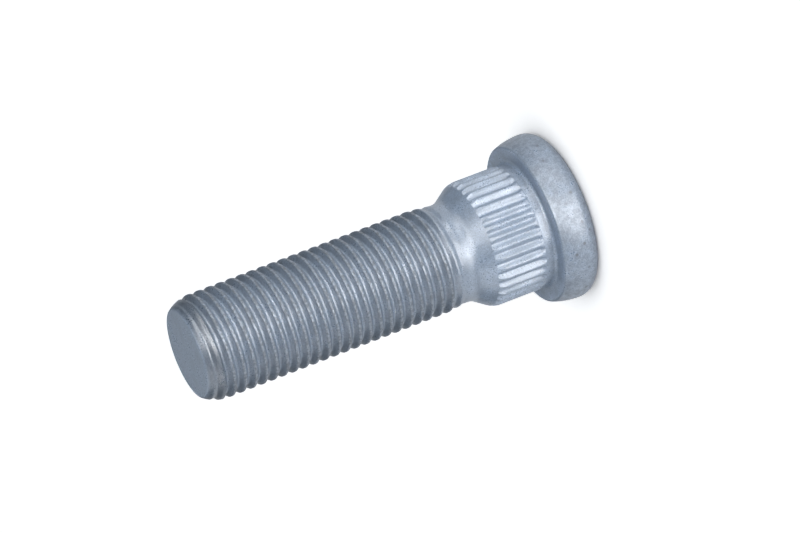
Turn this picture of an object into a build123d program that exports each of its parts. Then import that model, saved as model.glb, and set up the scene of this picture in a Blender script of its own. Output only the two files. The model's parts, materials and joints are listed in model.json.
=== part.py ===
"""Press-in wheel stud: a forged steel bolt that stands on its head.

Millimetres, +Z up. The origin is the centre of the head's outer face, and the shank rises along +Z
to its threaded point. The fine thread is left as a plain cylinder of its outside diameter.
"""

import os
from math import asin, cos, degrees, hypot, pi, radians, tan

from build123d import *

# Driving dimensions of the thread and its chamfered point
thread_diameter = 11.9
thread_pitch = 1.25
runout_turns = 2.6
point_step = 0.9
point_length = 1.9
point_break = 0.2

# Driving dimensions of the shank under the head
shank_length = 41.2
collar_length = 1.1
collar_step = 0.1
seat_chamfer = 0.2
shoulder_angle = 37.3
shoulder_round = 3.2
flare_radius = 1.75
neck_length = 0.62

# Driving dimensions of the knurl
knurl_rise = 1.23
knurl_length = 5.8
knurl_teeth = 36
knurl_depth = 0.4
knurl_runout = 0.5
groove_overrun = 0.15
crest_width = 0.16
root_width = 0.16

# Driving dimensions of the head
head_overhang = 2.34
head_thickness = 4.4
face_round = 1.48
rim_curve = 8.0
rim_break_height = 0.34
rim_break_width = 0.42

# Fixed proportions: ISO metric thread depth to its pitch diameter, and the room kept beside a fillet
pitch_line_share = 0.6495
fillet_share = 0.97

# Radii, each stepped from the thread outwards
thread_radius = thread_diameter / 2
point_radius = thread_radius - point_step
neck_radius = thread_radius - pitch_line_share * thread_pitch / 2
knurl_radius = thread_radius + knurl_rise
root_radius = knurl_radius - knurl_depth
collar_radius = knurl_radius - collar_step
head_radius = knurl_radius + head_overhang

# Heights, each stacked on the one below it
collar_top = head_thickness + collar_length
crest_bottom = collar_top + collar_step
crest_middle = collar_top + knurl_length / 2
knurl_top = collar_top + knurl_length
groove_top = knurl_top + groove_overrun
neck_bottom = knurl_top + (knurl_radius - neck_radius) / tan(radians(shoulder_angle))
neck_top = neck_bottom + neck_length
thread_bottom = neck_top + runout_turns * thread_pitch
overall_length = head_thickness + shank_length
thread_top = overall_length - point_length

# The two roundings of the shoulder keep their radii unless a side of them is too short
round_reach = tan(radians(shoulder_angle) / 2)
slope_room = fillet_share * (neck_bottom - knurl_top) / 2
crest_round = min(shoulder_round, min(slope_room, fillet_share * knurl_length / 2) / round_reach)
neck_round = min(flare_radius, min(slope_room, fillet_share * neck_length) / round_reach)

# The head's rim is one large arc, and a short slope breaks its edge to the flat seat
rim_turn = asin((head_thickness - face_round - rim_break_height) / rim_curve)
rim_end_radius = head_radius - rim_curve * (1 - cos(rim_turn))
seat_radius = rim_end_radius - rim_break_width

# The point's end edge is broken by equal lengths along the chamfer and the end face
point_slant = hypot(point_step, point_length)
break_radius = point_radius + point_break * point_step / point_slant
break_height = overall_length - point_break * point_length / point_slant

# One groove's section: its mouth leaves the crest, and its flanks run on past the crest to clear it
tooth_pitch = 2 * pi * knurl_radius / knurl_teeth
mouth_width = tooth_pitch - crest_width
groove_height = 2 * knurl_depth
groove_width = root_width + (mouth_width - root_width) * groove_height / knurl_depth


def groove_section(floor_radius):
    """Draw one V groove in the sketch that is open, with its floor at a given radius."""
    outer_radius = floor_radius + groove_height
    Polygon(
        (floor_radius, -root_width / 2),
        (outer_radius, -groove_width / 2),
        (outer_radius, groove_width / 2),
        (floor_radius, root_width / 2),
        align=None,
    )


# The cutter for one groove climbs to the collar at its lower end and stops in a wall on the shoulder
with BuildPart() as groove:
    with BuildSketch(Plane.XY.offset(collar_top)):
        groove_section(collar_radius)
    with BuildSketch(Plane.XY.offset(collar_top + knurl_runout)):
        groove_section(root_radius)
    loft(ruled=True)
    extrude(groove.faces().sort_by(Axis.Z)[-1], amount=groove_top - collar_top - knurl_runout)

# The stud is turned from one half profile, and the knurl's grooves are cut round it
with BuildPart() as wheel_stud:
    with BuildSketch(Plane.XZ):
        with BuildLine():
            Line((0, 0), (head_radius - face_round, 0))
            CenterArc((head_radius - face_round, face_round), face_round, 270, arc_size=90)
            CenterArc((head_radius - rim_curve, face_round), rim_curve, 0, arc_size=degrees(rim_turn))
            Polyline(
                (rim_end_radius, head_thickness - rim_break_height),
                (seat_radius, head_thickness),
                (collar_radius + seat_chamfer, head_thickness),
                (collar_radius, head_thickness + seat_chamfer),
                (collar_radius, collar_top),
                (knurl_radius, crest_bottom),
                (knurl_radius, crest_middle),
            )
            FilletPolyline(
                (knurl_radius, crest_middle),
                (knurl_radius, knurl_top),
                (neck_radius, neck_bottom),
                (neck_radius, neck_top),
                radius=(crest_round, neck_round),
            )
            Polyline(
                (neck_radius, neck_top),
                (thread_radius, thread_bottom),
                (thread_radius, thread_top),
                (break_radius, break_height),
                (point_radius - point_break, overall_length),
                (0, overall_length),
                (0, 0),
            )
        make_face()
    revolve(axis=Axis.Z)
    with PolarLocations(0, knurl_teeth, start_angle=180 / knurl_teeth):
        add(groove.part, mode=Mode.SUBTRACT)

wheel_stud.part.label = "wheel_stud"

os.makedirs("parts", exist_ok=True)
export_step(wheel_stud.part, "parts/wheel_stud.step")
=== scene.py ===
# %% [markdown]
# A press-in wheel stud
#
# A wheel stud is one bolt of forged steel. Its round head stays behind the hub, a ring of knurl teeth bites
# into the hub's hole, and a fine thread carries the wheel nut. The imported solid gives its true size, with
# the thread left as a plain cylinder. Painting that solid would be the quick way, but its thread would stay
# smooth. So this lesson models the stud once more, as one closed mesh in the solid's place: a turned blank,
# a knurl, a rolled thread and a matt zinc-flake coating.

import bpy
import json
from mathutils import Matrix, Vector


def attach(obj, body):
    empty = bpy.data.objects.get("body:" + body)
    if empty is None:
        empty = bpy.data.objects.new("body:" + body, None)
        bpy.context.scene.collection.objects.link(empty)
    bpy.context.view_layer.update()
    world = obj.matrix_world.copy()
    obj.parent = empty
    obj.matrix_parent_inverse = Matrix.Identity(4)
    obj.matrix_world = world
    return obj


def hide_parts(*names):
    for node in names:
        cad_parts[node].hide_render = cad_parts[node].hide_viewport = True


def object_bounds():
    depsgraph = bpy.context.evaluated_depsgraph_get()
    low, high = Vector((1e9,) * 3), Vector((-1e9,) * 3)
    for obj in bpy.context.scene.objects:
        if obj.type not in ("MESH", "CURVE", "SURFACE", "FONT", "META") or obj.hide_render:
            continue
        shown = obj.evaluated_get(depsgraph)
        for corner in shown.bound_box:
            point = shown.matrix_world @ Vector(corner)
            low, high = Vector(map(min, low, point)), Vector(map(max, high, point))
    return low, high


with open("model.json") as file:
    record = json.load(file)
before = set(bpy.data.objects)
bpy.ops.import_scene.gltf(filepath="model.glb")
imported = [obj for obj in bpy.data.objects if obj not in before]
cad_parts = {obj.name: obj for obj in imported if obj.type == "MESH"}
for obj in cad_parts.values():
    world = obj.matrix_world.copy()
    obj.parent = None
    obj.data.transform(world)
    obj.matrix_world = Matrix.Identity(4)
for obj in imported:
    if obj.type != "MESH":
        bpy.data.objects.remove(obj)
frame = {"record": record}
cad_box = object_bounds()
print(f"solid's box in metres: {[list(corner) for corner in cad_box]}")

# %% [markdown]
# The solid's box and the record's mounts already hold the main sizes, so they are read from there and not
# typed again. Everything is written in millimetres, as on a workshop drawing, and one factor turns it into
# Blender's metres when it is drawn. The head takes the smallest of the box's four reaches, so that the mesh
# stays inside the box on every side.

# %% Read the main sizes from the frame
import json
from math import asin, atan2, ceil, cos, hypot, pi, radians, sin, tan

import bmesh
import bpy
from mathutils import Matrix, Vector

MM = 0.001
mounts = {mount["name"]: mount for mount in frame["record"]["mounts"]}

head_radius = min(-cad_box[0][0], -cad_box[0][1], cad_box[1][0], cad_box[1][1]) / MM
overall_length = cad_box[1][2] / MM
seat_height = mounts["hub_seat"]["pos_m"][2] / MM
knurl_radius = mounts["knurl"]["dims"]["r_mm"]
thread_radius = mounts["thread"]["dims"]["r_mm"]
thread_bottom = mounts["thread"]["pos_m"][2] / MM - mounts["thread"]["dims"]["length_mm"] / 2
print(f"stud {overall_length:.2f} mm long, head {2 * head_radius:.2f} mm, thread {2 * thread_radius:.2f} mm")

# %% [markdown]
# A lathe part starts as half of its section. A curve object could hold that line, but its points would be
# spread anew when it became a mesh. By hand it is one vertex, which is extruded again and again from corner
# to corner. A plane merged to its middle gives that first vertex. The helper draws any outline this way,
# with each point given as a radius and a height.


# %% A helper that draws half a section, vertex by vertex
def draw_outline(name, points):
    """Make an object whose mesh is one line through (radius, height) points, and leave it in edit mode."""
    bpy.ops.object.select_all(action="DESELECT")
    bpy.ops.mesh.primitive_plane_add(size=MM)
    piece = bpy.context.object
    piece.name = name
    bpy.ops.object.mode_set(mode="EDIT")
    bpy.ops.mesh.select_mode(type="VERT")
    bpy.ops.mesh.select_all(action="SELECT")
    bpy.ops.mesh.merge(type="CENTER")
    radius, height = points[0]
    bpy.ops.transform.translate(value=(radius * MM, 0, height * MM))
    for next_radius, next_height in points[1:]:
        step = ((next_radius - radius) * MM, 0, (next_height - height) * MM)
        bpy.ops.mesh.extrude_vertices_move(TRANSFORM_OT_translate={"value": step})
        radius, height = next_radius, next_height
    bpy.ops.mesh.select_all(action="SELECT")
    print(f"{name}: {len(points)} points drawn")
    return piece


# %% [markdown]
# A forged part has no dead-sharp corner. The Bevel tool could round each corner later, one size at a time.
# Here the rounds are part of the line, so that each has its own radius. A rounded corner is an arc that
# touches both sides: its middle lies on the line that halves the corner, and its ends slide along the
# sides.


# %% Two helpers for the round parts of a section
def rounded_corner(before, corner, after, radius, count):
    """The points of the arc that rounds a corner of an outline, from its first side to its second."""
    corner = Vector(corner)
    back = (Vector(before) - corner).normalized()
    ahead = (Vector(after) - corner).normalized()
    half = back.angle(ahead) / 2
    middle = corner + (back + ahead).normalized() * radius / sin(half)
    start = corner + back * radius / tan(half) - middle
    end = corner + ahead * radius / tan(half) - middle
    turn = pi - 2 * half
    weights = [(sin(turn * (1 - i / count)), sin(turn * i / count)) for i in range(count + 1)]
    return [tuple(middle + (start * first + end * second) / sin(turn)) for first, second in weights]


def arc_points(middle, radius, start, end, count):
    """The points of a circle's arc between two angles, which are counted up from level."""
    angles = [start + (end - start) * i / count for i in range(count + 1)]
    return [(middle[0] + radius * cos(angle), middle[1] + radius * sin(angle)) for angle in angles]


# %% [markdown]
# The head is a thick disc. Its outer face runs into the rim with a generous round. The rim leans in over a
# long flat curve, as the die leaves it, up to a clear edge. From there a short bevel leads to the seat,
# which is a little hollow towards the collar, so that the head bears on its outer ring. A cylinder with
# bevelled edges would miss the leaning rim and the hollow, so the section is drawn arc by arc.

# %% The head's half section
face_round = 1.48
rim_curve = 8.0
bevel_height = 0.12
bevel_width = 0.2
edge_round = 0.1
seat_hollow = 0.12
seat_fillet = 0.4
collar_step = 0.1
collar_length = 1.1
face_steps = 12
rim_steps = 10
edge_steps = 4
fillet_steps = 5

collar_radius = knurl_radius - collar_step
collar_top = seat_height + collar_length
face_edge = head_radius - face_round
rim_turn = asin((seat_height - bevel_height - face_round) / rim_curve)
rim = arc_points((head_radius - rim_curve, face_round), rim_curve, 0, rim_turn, rim_steps)
seat_edge = (rim[-1][0] - bevel_width, seat_height)
seat_foot = (collar_radius, seat_height - seat_hollow)
head_outline = [(face_edge * i / 3, 0) for i in range(3)]
head_outline += arc_points((face_edge, face_round), face_round, -pi / 2, 0, face_steps) + rim[1:-1]
head_outline += rounded_corner(rim[-2], rim[-1], seat_edge, edge_round, edge_steps)
head_outline += rounded_corner(rim[-1], seat_edge, seat_foot, edge_round, edge_steps)
head_outline += rounded_corner(seat_edge, seat_foot, (collar_radius, collar_top), seat_fillet, fillet_steps)
print(f"head outline: {len(head_outline)} points up to the collar")

# %% [markdown]
# Above the collar the blank steps out by a hair to the knurl's crests. It then turns in over a soft
# shoulder to a cone. A hollow flare leads the cone into the neck, and meets it at a faint edge. The neck is
# close to the thread's pitch diameter, because a rolled thread pushes as much metal out as it presses in.
# The line could stop at its corners, but it also gets the rows that the knurl needs later: a few where the
# grooves run out, and two close ones on the shoulder for the wall in which each groove ends.

# %% The knurled seat and the neck
run_out_length = 0.5
knurl_length = 5.48
groove_overrun = 0.4
shoulder_slope = radians(34.5)
neck_step = 0.31
neck_length = 0.85

crest_bottom = collar_top + collar_step
groove_full = collar_top + run_out_length
knurl_top = collar_top + knurl_length
groove_end = knurl_top + groove_overrun
neck_radius = thread_radius - neck_step
neck_bottom = knurl_top + (knurl_radius - neck_radius) / tan(shoulder_slope)
neck_top = neck_bottom + neck_length
print(f"knurl from {crest_bottom:.2f} to {knurl_top:.2f} mm")
print(f"neck from {neck_bottom:.2f} to {neck_top:.2f} mm")

# %% The shoulder, the cone and the flare between them
shoulder_round = 2.1
wall_turn = radians(0.8)
flare_round = 2.0
flare_turn = radians(33)
edge_gap = 0.04
knurl_steps = 11
cone_steps = 3
flare_steps = 7

shoulder_middle = (knurl_radius - shoulder_round, knurl_top - shoulder_round * tan(shoulder_slope / 2))
end_turn = asin((groove_end - shoulder_middle[1]) / shoulder_round)
shoulder = arc_points(shoulder_middle, shoulder_round, 0, end_turn - wall_turn, knurl_steps)
shoulder += arc_points(shoulder_middle, shoulder_round, end_turn + wall_turn, shoulder_slope, cone_steps)

flare_radius = neck_radius + flare_round * (1 - cos(flare_turn))
flare_bottom = knurl_top + (knurl_radius - flare_radius) / tan(shoulder_slope)
cone_end = (flare_radius + edge_gap * tan(shoulder_slope), flare_bottom - edge_gap)
flare_middle = (neck_radius + flare_round, flare_bottom + flare_round * sin(flare_turn))
flare = arc_points(flare_middle, flare_round, pi + flare_turn, pi, flare_steps)
print(f"shoulder from {shoulder[0][1]:.2f} to {shoulder[-1][1]:.2f} mm, flare to {flare[-1][1]:.2f} mm")

# %% The outline from the collar to the neck
run_out_steps = 3
crest_shares = (0.33, 0.67)

run_out_shares = [i / run_out_steps for i in range(run_out_steps + 1)]
run_out_rows = [crest_bottom + (groove_full - crest_bottom) * share for share in run_out_shares]
crest_rows = [groove_full + (shoulder[0][1] - groove_full) * share for share in crest_shares]
step_middle = ((collar_radius + knurl_radius) / 2, (collar_top + crest_bottom) / 2)
seat_outline = [(collar_radius, collar_top), step_middle]
seat_outline += [(knurl_radius, height) for height in run_out_rows + crest_rows]
seat_outline += shoulder + [cone_end] + flare + [(neck_radius, neck_top)]
print(f"seat outline: {len(seat_outline)} points up to the thread")

# %% [markdown]
# The knurl has 36 equal teeth. The whole blank could be spun at once, but then each tooth would have to be
# shaped by itself. So only a slice as wide as one tooth is modelled. Spinning the section by ten degrees in
# eight steps gives that slice nine columns: a crest at each side and a root in the middle. With no window,
# Spin turns clockwise about an axis that points up, so the axis points down here.

# %% Spin a slice as wide as one tooth
teeth = 36
columns = 8
slice_angle = 2 * pi / teeth
column_angle = slice_angle / columns

blank = draw_outline("wheel_stud_coated", head_outline + seat_outline)
bpy.ops.mesh.spin(steps=columns, angle=slice_angle, center=(0, 0, 0), axis=(0, 0, -1))
print(f"slice: {len(bmesh.from_edit_mesh(blank.data).verts)} vertices")

# %% [markdown]
# A knurl tooth has a flat crest, two straight flanks and a flat root. Booleans could cut it, but they leave
# thin ragged faces where a groove runs out. Here half a tooth is five columns of the slice, each with its
# place, counted in columns from the crest, and its depth. Towards the collar the grooves climb out. Up the
# shoulder they sink with the blank, but only by half as much, so they grow shallow before they end in a
# small wall.

# %% The tooth's form
tooth_places = (0, 0.75, 2, 3.25, 4)
tooth_depths = (0, 0.015, 0.2, 0.385, 0.4)
groove_depth = tooth_depths[-1]
groove_follow = 0.5
run_out_rise = groove_depth - collar_step
half_columns = columns // 2


def groove_edge(land_depth):
    """The place where the flank comes out at a land that lies this far below the groove's crests."""
    upper = max(i for i in range(half_columns) if tooth_depths[i] <= land_depth)
    share = (land_depth - tooth_depths[upper]) / (tooth_depths[upper + 1] - tooth_depths[upper])
    return tooth_places[upper] + share * (tooth_places[upper + 1] - tooth_places[upper])


print(f"tooth: {groove_depth} mm deep, {run_out_rise:.2f} mm up to the collar")

# %% [markdown]
# To press a groove, one column of vertices at one height is selected, scaled towards the axis and turned
# about it. That could be one loop over coordinates, but the two operators are what a hand would use. Rotate
# turns the other way when Blender has no window, hence the minus sign.

# %% A helper that moves one column at one height
place_tolerance = 0.004


def move_column(piece, column, height, turn, factor):
    """Turn one column of vertices at one height about the axis, and scale it towards the axis."""
    shape = bmesh.from_edit_mesh(piece.data)
    for vertex in shape.verts:
        aside = atan2(vertex.co.y, vertex.co.x) - column * column_angle
        near_axis = hypot(vertex.co.x, vertex.co.y) < MM
        level = abs(vertex.co.z / MM - height) < place_tolerance
        vertex.select_set(level and not near_axis and abs(aside) < column_angle / 4)
    shape.select_flush_mode()
    bmesh.update_edit_mesh(piece.data)
    bpy.ops.transform.resize(value=(factor, factor, 1), center_override=(0, 0, 0))
    bpy.ops.transform.rotate(value=-turn, orient_axis="Z", center_override=(0, 0, 0))


# %% [markdown]
# Where the blank stands higher than the groove, a column goes to its own place and depth. Where the
# shoulder or the run-out has come down to the groove, the columns outside it are spread evenly up to the
# groove's edge. That keeps the edge on a column, and so it stays clean.

# %% Press the flanks and the root into the slice
moves = 0
for radius, height in seat_outline:
    rise = run_out_rise * max(0, (groove_full - height) / run_out_length)
    land_depth = max(0, knurl_radius + rise - radius)
    if height > groove_full:
        land_depth *= groove_follow
    if land_depth > groove_depth - place_tolerance or height > groove_end:
        continue
    edge = groove_edge(land_depth)
    outside = max(i for i in range(half_columns) if tooth_places[i] <= edge)
    for i in range(half_columns, 0, -1):
        pressed = i > outside
        place = tooth_places[i] if pressed else edge * i / outside
        factor = (radius + land_depth - tooth_depths[i]) / radius if pressed else 1
        turn = (place - i) * column_angle
        move_column(blank, i, height, turn, factor)
        if i < half_columns:
            move_column(blank, columns - i, height, -turn, factor)
        moves += 1
print(f"knurl: {moves} places pressed or turned in half a tooth")

# %% [markdown]
# On the real stud a pair of dies rolls the teeth as the blank turns between them. Here the finished slice
# is repeated round the axis, as an indexing head would do it. An Array modifier could repeat it too, but
# needs a second object for the turn. Spin does it in one step, and the seams between the copies are merged.

# %% Repeat the slice round the axis
merge_distance = 0.003 * MM
rest_of_turn = 2 * pi - slice_angle
bpy.ops.mesh.select_all(action="SELECT")
bpy.ops.mesh.spin(steps=teeth - 1, dupli=True, angle=rest_of_turn, center=(0, 0, 0), axis=(0, 0, 1))
bpy.ops.mesh.select_all(action="SELECT")
bpy.ops.mesh.remove_doubles(threshold=merge_distance)
bpy.ops.object.mode_set(mode="OBJECT")
print(f"blank with knurl: {len(blank.data.vertices)} vertices")

# %% [markdown]
# The thread is a fine right-hand metric one. A bump map could fake it, but its outline would stay straight.
# So one pitch of the thread's form is drawn once, with a rounded root and crest, and the Screw modifier
# winds it up the shank: one turn lifts it by one pitch, so each turn meets the next. The start height sets
# where the crests lie as seen from the front. The winding has as many steps as the blank has columns, so
# that the two can be merged.

# %% Draw one pitch of the thread
pitch = 1.25
thread_depth = 0.58
thread_start = 12.6
crest_half = 0.11
crest_edge = 0.19
crest_drop = 0.06
root_half = 0.05
root_edge = 0.17
root_rise = 0.06

root_radius = thread_radius - thread_depth
thread_form = [
    (root_radius, root_half),
    (root_radius + root_rise, root_edge),
    (thread_radius - crest_drop, pitch / 2 - crest_edge),
    (thread_radius, pitch / 2 - crest_half),
    (thread_radius, pitch / 2 + crest_half),
    (thread_radius - crest_drop, pitch / 2 + crest_edge),
    (root_radius + root_rise, pitch - root_edge),
    (root_radius, pitch - root_half),
    (root_radius, pitch + root_half),
]
thread = draw_outline("thread", [(radius, thread_start + height) for radius, height in thread_form])
bpy.ops.object.mode_set(mode="OBJECT")

# %% Wind it up the shank
round_steps = teeth * columns
turns = ceil((overall_length - thread_start) / pitch)

winding = thread.modifiers.new("winding", "SCREW")
winding.axis = "Z"
winding.angle = 2 * pi
winding.screw_offset = pitch * MM
winding.iterations = turns
winding.steps = round_steps
winding.render_steps = round_steps
bpy.ops.object.modifier_apply(modifier=winding.name)
print(f"thread: {turns} turns, {len(thread.data.vertices)} vertices")

# %% [markdown]
# A rolled thread doesn't stop dead. Towards the neck its crests sink and its roots rise until both reach
# the neck, and at the point it runs out on a rounded chamfer. No operator changes a radius by height, so
# this is done in code: every vertex keeps its column and its height, and only its radius is changed. What
# reaches past either end is flattened onto that end, where it becomes one clean ring.

# %% Fade the thread into the neck and chamfer its point
thread_lead = 0.8
chamfer_curve = 4.3
chamfer_length = 2.7
ring_drop = 0.4

thread_full = thread_bottom - thread_lead
chamfer_bottom = overall_length - chamfer_length
ring_height = overall_length - ring_drop


def chamfer_radius(height):
    """The radius of the rounded chamfer at a height."""
    over = max(0, height - chamfer_bottom)
    return thread_radius - chamfer_curve + chamfer_curve * cos(asin(over / chamfer_curve))


for vertex in thread.data.vertices:
    height = min(max(vertex.co.z / MM, neck_top), ring_height)
    wound_radius = hypot(vertex.co.x, vertex.co.y) / MM
    share = min(1, (height - neck_top) / (thread_full - neck_top))
    radius = min(neck_radius + share * (wound_radius - neck_radius), chamfer_radius(height))
    vertex.co.x *= radius / wound_radius
    vertex.co.y *= radius / wound_radius
    vertex.co.z = height * MM
print(f"thread fades between {neck_top:.2f} and {thread_full:.2f} mm, ring at {ring_height:.2f} mm")

# %% [markdown]
# The point's end is a plain sheared face with a rounded edge. Filling the thread's last ring would close
# it, but leave a sharp edge. So it is turned like the blank: a short outline from the chamfer over the edge
# to the middle, spun all the way round.

# %% Turn the end of the point
point_round = 0.3
point_steps = 11
face_shares = (0.8, 0.5, 0.2, 0)

point_radius = chamfer_radius(overall_length)
point_ring = (chamfer_radius(ring_height), ring_height)
point_corner = (point_radius, overall_length)
point_outline = [point_ring]
point_outline += rounded_corner(point_ring, point_corner, (0, overall_length), point_round, point_steps)
point_outline += [(point_radius * share, overall_length) for share in face_shares]
point = draw_outline("point", point_outline)
bpy.ops.mesh.spin(steps=round_steps, angle=2 * pi, center=(0, 0, 0), axis=(0, 0, 1))
bpy.ops.object.mode_set(mode="OBJECT")
print(f"point: {len(point.data.vertices)} vertices")

# %% [markdown]
# The real stud is one piece, and so is the mesh. Blank, thread and point could stay three objects, but
# their seams would show. They share the same columns, so joining them and merging doubles closes them into
# one skin. The normals are recalculated once it is closed.

# %% Join the three into one closed stud
bpy.ops.object.select_all(action="DESELECT")
for piece in (thread, point, blank):
    piece.select_set(True)
bpy.context.view_layer.objects.active = blank
bpy.ops.object.join()
stud = blank
bpy.ops.object.mode_set(mode="EDIT")
bpy.ops.mesh.select_all(action="SELECT")
bpy.ops.mesh.remove_doubles(threshold=merge_distance)
bpy.ops.mesh.dissolve_degenerate(threshold=merge_distance / 10)
bpy.ops.mesh.select_all(action="SELECT")
bpy.ops.mesh.normals_make_consistent(inside=False)
open_edges = [edge for edge in bmesh.from_edit_mesh(stud.data).edges if not edge.is_manifold]
bpy.ops.object.mode_set(mode="OBJECT")
triangles = sum(len(face.vertices) - 2 for face in stud.data.polygons)
print(f"stud: {triangles} triangles, {len(open_edges)} open edges")

# %% [markdown]
# Rolled and forged metal is smooth over its rounds and crisp at its edges. Plain smooth shading would blur
# the edges too, so only edges under forty degrees are shaded smooth. The Weighted Normal modifier then lets
# the large faces stay flat beside the small ones of a round.

# %% Shade the stud
smooth_angle = radians(40)
bpy.ops.object.shade_smooth_by_angle(angle=smooth_angle)
flat_faces = stud.modifiers.new("flat_faces", "WEIGHTED_NORMAL")
flat_faces.keep_sharp = True
bpy.ops.object.modifier_apply(modifier=flat_faces.name)
print(f"{stud.name}: {len(stud.data.polygons)} faces shaded")

# %% [markdown]
# Zinc-flake coating is a matt silver-grey paint full of tiny metal flakes. It is dipped and spun on, so it
# is a little blotchy. A pure metal shader would mirror the dark parts of the room, so the coating is a
# paint with a strong reflection instead, which a high IOR gives. Its colour and roughness come from
# textures in the object's own coordinates. A few short helpers keep the node tree readable.

# %% Start the coating and its node helpers
coating = bpy.data.materials.new("zinc_flake_coating")
coating.use_nodes = True
nodes = coating.node_tree.nodes
links = coating.node_tree.links
shader = nodes["Principled BSDF"]
shader.inputs["Metallic"].default_value = 0.05
shader.inputs["IOR"].default_value = 2.5
places = nodes.new("ShaderNodeTexCoord").outputs["Object"]


def noise(scale, detail):
    """A noise texture's grey value."""
    texture = nodes.new("ShaderNodeTexNoise")
    texture.inputs["Scale"].default_value = scale
    texture.inputs["Detail"].default_value = detail
    links.new(places, texture.inputs["Vector"])
    return texture.outputs["Fac"]


def remap(value, low, high, to_low, to_high):
    """Stretch a value from one range to another, and hold it at the ends."""
    node = nodes.new("ShaderNodeMapRange")
    for name, number in (("From Min", low), ("From Max", high), ("To Min", to_low), ("To Max", to_high)):
        node.inputs[name].default_value = number
    links.new(value, node.inputs["Value"])
    return node.outputs["Result"]


def combine(operation, first, second):
    """Join two values with a Math node."""
    node = nodes.new("ShaderNodeMath")
    node.operation = operation
    links.new(first, node.inputs[0])
    links.new(second, node.inputs[1])
    return node.outputs["Value"]


print(f"{coating.name} started")

# %% [markdown]
# The coating looks different from place to place, as the metal under it does. A painted mask would need an
# image, but on a turned part two numbers say where a point is: its height and its distance from the axis.
# Three more helpers turn them into soft masks, with their limits in millimetres.


# %% Height, distance from the axis, and soft masks
def flat_radius():
    """The distance from the stud's axis."""
    flatten = nodes.new("ShaderNodeVectorMath")
    flatten.operation = "MULTIPLY"
    flatten.inputs[1].default_value = (1, 1, 0)
    links.new(places, flatten.inputs[0])
    length = nodes.new("ShaderNodeVectorMath")
    length.operation = "LENGTH"
    links.new(flatten.outputs["Vector"], length.inputs[0])
    return length.outputs["Value"]


def rising(value, start, full):
    """A mask that is 0 up to a start, and 1 from where it is full."""
    return remap(value, start * MM, full * MM, 0, 1)


def falling(value, fading, gone):
    """A mask that is 1 up to where it starts fading, and 0 from where it is gone."""
    return remap(value, fading * MM, gone * MM, 1, 0)


split = nodes.new("ShaderNodeSeparateXYZ")
links.new(places, split.inputs["Vector"])
above_floor = split.outputs["Z"]
axis_distance = flat_radius()

# %% [markdown]
# The thread is painted darker than the forged parts, as painted shade. Its crests are broken and dull, since
# they were pressed up and never touched a die. Its roots are painted lighter, as a painted highlight, and
# the point, where the thread runs out, is painted darkest, as painted shade.

# %% Find the thread, its crests, its roots and the point
end_fade = 0.3
end_clear = 0.05
crest_fade = 0.08
crest_clear = 0.03
root_clear = 0.03
root_fade = 0.12
point_fade = 0.2
point_clear = 1.0

below_end = falling(above_floor, overall_length - end_fade, overall_length - end_clear)
on_thread = combine("MULTIPLY", rising(above_floor, neck_top, thread_full), below_end)
at_crest = rising(axis_distance, thread_radius - crest_fade, thread_radius - crest_clear)
on_crest = combine("MULTIPLY", at_crest, on_thread)
at_root = falling(axis_distance, root_radius + root_clear, root_radius + root_fade)
# The roots are painted lighter, as a painted highlight along them.
painted_root_highlight = combine("MULTIPLY", at_root, on_thread)
at_point = rising(above_floor, chamfer_bottom + point_fade, chamfer_bottom + point_clear)
# The point's chamfer is painted darker, as painted shade.
painted_point_shade = combine("MULTIPLY", at_point, below_end)
print(f"thread masks from {neck_top:.2f} mm up, point from {chamfer_bottom:.2f} mm up")

# %% [markdown]
# The knurled seat and its shoulder are painted a little lighter than the rest, as painted light. The corner
# at the collar's foot is painted lighter too, as a painted highlight along its fillet, and the round of the
# head's face is painted darker, as painted shade.

# %% Find the knurled seat, the collar's foot, the head and its face
foot_height = 0.4
cone_fade = 0.8
corner_limits = (-0.1, 0.05, 0.15, 0.3)
seat_fade = 0.4
face_dark = 0.2
face_clear = 1.4

above_foot = rising(above_floor, seat_height + foot_height, collar_top)
below_neck = falling(above_floor, neck_bottom - cone_fade, neck_bottom)
# The knurled seat and its shoulder are painted lighter, as painted light.
painted_knurl_light = combine("MULTIPLY", above_foot, below_neck)
# The fillet at the collar's foot is painted lighter, as a painted highlight.
start, full, fading, gone = (seat_height + limit for limit in corner_limits)
painted_corner_highlight = combine("MULTIPLY", rising(above_floor, start, full), falling(above_floor, fading, gone))
on_head = falling(above_floor, seat_height - seat_fade, seat_height)
# The round of the head's face is painted darker, as painted shade.
painted_face_shade = falling(above_floor, face_dark, face_clear)
print(f"head masks up to {seat_height:.2f} mm, knurl masks up to {neck_bottom:.2f} mm")

# %% [markdown]
# The flakes are a fine grain of light and dark, and wide blotches lie over it. Small breaks dull the thread
# and cut its crest lines into dots. The forged head has a soft mottle and a few small dark pits: Voronoi
# cells whose middle happens to lie close under the skin.

# %% Make the grain, the blotches, the breaks, the mottle and the pits
grain = noise(7000, 2)
blotches = noise(650, 3)
breaks = remap(noise(3200, 2), 0.44, 0.56, 1, 0)
dull_thread = combine("MULTIPLY", on_thread, breaks)
dull_crest = combine("MULTIPLY", on_crest, breaks)
mottle = combine("MULTIPLY", remap(noise(1800, 3), 0.42, 0.58, 0, 1), on_head)
cells = nodes.new("ShaderNodeTexVoronoi")
cells.inputs["Scale"].default_value = 800
links.new(places, cells.inputs["Vector"])
pits = combine("MULTIPLY", remap(cells.outputs["Distance"], 0.1, 0.19, 1, 0), on_head)
print(f"{len(nodes)} nodes for places and textures")

# %% [markdown]
# The colour starts with the grain, from dark to light flakes. A Mix node for each place would soon fill the
# node tree with colours. One grey shade is simpler: each place lightens or darkens it by a factor, and at
# the end it is multiplied with the grain's colour.

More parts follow.
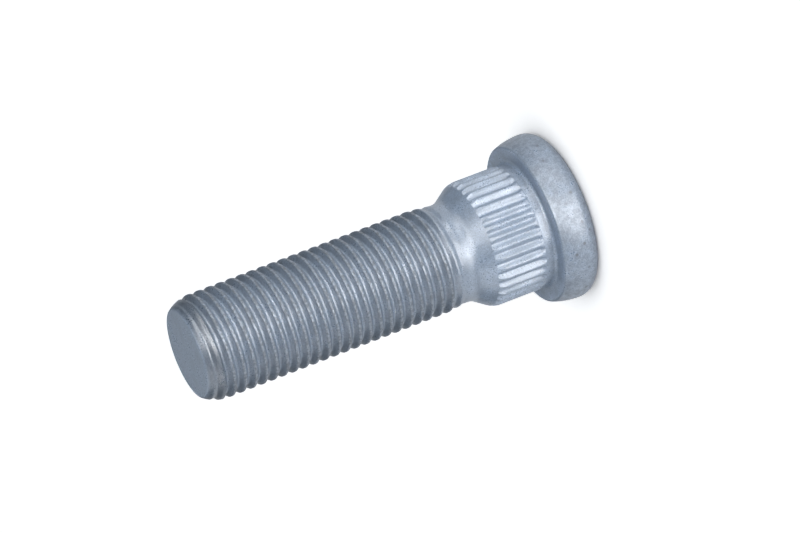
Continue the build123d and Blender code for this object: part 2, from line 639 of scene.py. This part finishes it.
# %% Colour the coating
grain_colour = nodes.new("ShaderNodeValToRGB")
dark_flakes, light_flakes = grain_colour.color_ramp.elements
dark_flakes.position = 0.3
dark_flakes.color = (0.126, 0.17, 0.237, 1)
light_flakes.position = 0.7
light_flakes.color = (0.272, 0.338, 0.436, 1)
links.new(grain, grain_colour.inputs["Fac"])

# Besides the blotches, breaks, mottle and pits, several factors here are painted shade and painted
# highlights.
place_factors = (
    # painted shade over the whole thread
    (on_thread, 0.74),
    (dull_thread, 0.85),
    (dull_crest, 0.6),
    # painted highlight along the thread's roots
    (painted_root_highlight, 1.2),
    # painted shade on the point's chamfer
    (painted_point_shade, 0.66),
    # painted light on the knurled seat and its shoulder
    (painted_knurl_light, 1.15),
    # painted highlight along the fillet at the collar's foot
    (painted_corner_highlight, 1.35),
    # painted shade on the round of the head's face
    (painted_face_shade, 0.72),
    (mottle, 0.787),
    (pits, 0.45),
)
shade = remap(blotches, 0.3, 0.7, 0.929, 1.21)
for place, factor in place_factors:
    shade = combine("MULTIPLY", shade, remap(place, 0, 1, 1, factor))

tint = nodes.new("ShaderNodeMix")
tint.data_type = "RGBA"
tint.blend_type = "MULTIPLY"
tint.inputs["Factor"].default_value = 1
links.new(grain_colour.outputs["Color"], tint.inputs["A"])
links.new(shade, tint.inputs["B"])
links.new(tint.outputs["Result"], shader.inputs["Base Color"])
print(f"shade: {len(place_factors)} places lightened or darkened")

# %% [markdown]
# Flakes lie at small tilts of their own, so the gloss breaks up into sparkle. The same grain therefore
# drives the roughness and a shallow bump. The broken crests and the mottled head are duller, and the
# blotches change the gloss a little.

# %% Roughness and sparkle
roughness = remap(grain, 0.3, 0.7, 0.27, 0.41)
roughness = combine("ADD", roughness, remap(dull_crest, 0, 1, 0, 0.4))
roughness = combine("ADD", roughness, remap(mottle, 0, 1, 0, 0.13))
roughness = combine("ADD", roughness, remap(blotches, 0.3, 0.7, 0.04, -0.04))
links.new(roughness, shader.inputs["Roughness"])

grain_bump = nodes.new("ShaderNodeBump")
grain_bump.inputs["Strength"].default_value = 0.6
grain_bump.inputs["Distance"].default_value = 0.02 * MM
links.new(grain, grain_bump.inputs["Height"])
links.new(grain_bump.outputs["Normal"], shader.inputs["Normal"])

stud.data.materials.clear()
stud.data.materials.append(coating)
print(f"{coating.name}: {len(nodes)} nodes")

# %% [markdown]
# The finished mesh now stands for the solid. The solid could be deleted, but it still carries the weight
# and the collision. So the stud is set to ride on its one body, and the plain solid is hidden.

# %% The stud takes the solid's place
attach(stud, "root")
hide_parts("wheel_stud")
print(f"{stud.name} replaces wheel_stud")

# %% [markdown]
# The camera stands where the photographer stood: a long lens half a metre away, raised by about nineteen
# degrees as the stud stands. The stud could be tipped over to lie in the picture as it does there, but it
# stays upright, as it rests. The camera is rolled instead, so that the shank runs down to the left.

# %% Set up the camera
camera_distance = 491.7
camera_azimuth = radians(-88.2)
camera_height_angle = radians(18.7)
camera_roll = radians(-110.884)
look_at = Vector((0.614, 0.019, 19.638)) * MM

camera_data = bpy.data.cameras.new("camera")
camera_data.sensor_width = 36
camera_data.lens = 203.88
camera_data.clip_start = 0.01
camera = bpy.data.objects.new("camera", camera_data)
bpy.context.scene.collection.objects.link(camera)
towards_camera = Vector((
    cos(camera_height_angle) * cos(camera_azimuth),
    cos(camera_height_angle) * sin(camera_azimuth),
    sin(camera_height_angle),
))
upright = (-towards_camera).to_track_quat("-Z", "Y").to_matrix().to_4x4()
camera_place = Matrix.Translation(look_at + towards_camera * camera_distance * MM)
camera.matrix_world = camera_place @ upright @ Matrix.Rotation(camera_roll, 4, "Z")
bpy.context.scene.camera = camera
print(f"camera at {[round(x, 4) for x in camera.location]}")

# %% [markdown]
# The light is plain and soft. One large lamp would give a single flat sheen, so three softboxes stand in
# front, to the left of the camera, straight behind it and to its right. Another hangs above and one lies
# below, as the picture stands, and a slightly blue one lights the point's end from the left and behind.
# Each is placed by how far it is turned and lifted from the line between stud and camera. Multiple
# importance sampling is off, because together with light linking, which comes next, it loses part of a
# softbox's light.

# %% A helper that hangs a softbox
box_distance = 0.55


def softbox(name, turn, lift, width, height, power):
    """Hang an area light round the stud from the camera's side, facing it and level in the picture."""
    right, up, back = camera.matrix_world.to_3x3().transposed()
    facing = (cos(lift) * (sin(turn) * right + cos(turn) * back) + sin(lift) * up).normalized()
    level = up.cross(facing).normalized()
    upward = facing.cross(level)
    data = bpy.data.lights.new(name, "AREA")
    data.shape = "RECTANGLE"
    data.size = width
    data.size_y = height
    data.energy = power
    data.cycles.use_multiple_importance_sampling = False
    light = bpy.data.objects.new(name, data)
    bpy.context.scene.collection.objects.link(light)
    place = look_at + facing * box_distance
    light.matrix_world = Matrix.Translation(place) @ Matrix((level, upward, facing)).transposed().to_4x4()
    print(f"{name}: {power} W at {[round(x, 2) for x in place]}")
    return light


# %% Hang the softboxes
softbox("left_softbox", radians(-29), radians(13), 0.2, 0.48, 0.88)
softbox("front_softbox", radians(-1), radians(2), 0.24, 0.34, 1.08)
right_softbox = softbox("right_softbox", radians(36), radians(0), 0.34, 0.46, 1.48)
top_softbox = softbox("top_softbox", radians(-13), radians(53), 0.56, 0.22, 0.62)
softbox("low_softbox", radians(-20), radians(-75), 0.5, 0.5, 0.58)
point_softbox = softbox("point_softbox", radians(-115), radians(-19), 0.6, 0.6, 0.72)
point_softbox.data.color = (0.88, 0.97, 1.08)

# %% [markdown]
# The picture is rolled, so what lies to its right or above it can be under the floor as the stud stands.
# The floor would shade the right and the top softbox. Leaving out the floor would cost the stud its shadow,
# so light linking is the way round that: these two boxes light only what is in a collection, and only that
# can shade them.

# %% Link two softboxes to the stud alone
stud_only = bpy.data.collections.new("stud_only")
stud_only.objects.link(stud)
for light in (right_softbox, top_softbox):
    light.light_linking.receiver_collection = stud_only
    light.light_linking.blocker_collection = stud_only
    print(f"{light.name} lights only {stud.name}")

# %% [markdown]
# The floor is white paper. Stronger lamps would make it white in the picture, but they would bleach the
# stud too. So the paper glows a little for the rays that come from the camera, and less for those that the
# coating's sheen sends there. Ambient Occlusion holds the glow back close to the stud, which paints a soft
# shadow there.

# %% Lay the floor
floor_size = 20
bpy.ops.object.select_all(action="DESELECT")
bpy.ops.mesh.primitive_plane_add(size=floor_size)
floor = bpy.context.object
floor.name = "floor"
paper = bpy.data.materials.new("white_paper")
paper.use_nodes = True
paper_nodes = paper.node_tree.nodes
paper_links = paper.node_tree.links
paper_shader = paper_nodes["Principled BSDF"]
paper_shader.inputs["Base Color"].default_value = (0.87, 0.87, 0.87, 1)
paper_shader.inputs["Roughness"].default_value = 0.9
paper_shader.inputs["Specular IOR Level"].default_value = 0.1
paper_shader.inputs["Emission Color"].default_value = (1, 1, 1, 1)
floor.data.materials.append(paper)
print(f"{floor.name}: {floor.dimensions.x:.0f} m wide")

# %% Let the paper glow for the camera and the sheen
paper_glow = 0.68
sheen_share = 0.4
shadow_reach = 6.0


def paper_math(operation, first, second):
    """A Math node in the paper's material, with a link or a plain number at each input."""
    node = paper_nodes.new("ShaderNodeMath")
    node.operation = operation
    for socket, value in zip(node.inputs, (first, second)):
        if isinstance(value, float):
            socket.default_value = value
        else:
            paper_links.new(value, socket)
    return node.outputs["Value"]


rays = paper_nodes.new("ShaderNodeLightPath").outputs
painted_shadow_ao = paper_nodes.new("ShaderNodeAmbientOcclusion")
painted_shadow_ao.inputs["Distance"].default_value = shadow_reach * MM
in_sheen = paper_math("MAXIMUM", rays["Is Glossy Ray"], rays["Is Transmission Ray"])
seen = paper_math("MAXIMUM", rays["Is Camera Ray"], paper_math("MULTIPLY", in_sheen, sheen_share))
# Held back by Ambient Occlusion, the glow leaves a painted shadow close to the stud.
seen = paper_math("MULTIPLY", seen, painted_shadow_ao.outputs["AO"])
paper_links.new(paper_math("MULTIPLY", seen, paper_glow), paper_shader.inputs["Emission Strength"])
print(f"{paper.name}: {len(paper_nodes)} nodes")

# %% [markdown]
# A studio is never quite dark. The room could be built with walls, but a world of one weak, slightly blue
# colour fills the shadows just as well. The Standard view transform shows colours about as they are
# written.

# %% Light the room
world = bpy.data.worlds.new("room")
bpy.context.scene.world = world
world.use_nodes = True
room = world.node_tree.nodes["Background"]
room.inputs["Color"].default_value = (0.85, 0.93, 1.0, 1)
room.inputs["Strength"].default_value = 0.11
bpy.context.scene.view_settings.view_transform = "Standard"
print(f"{world.name}: strength {room.inputs['Strength'].default_value:.2f}")
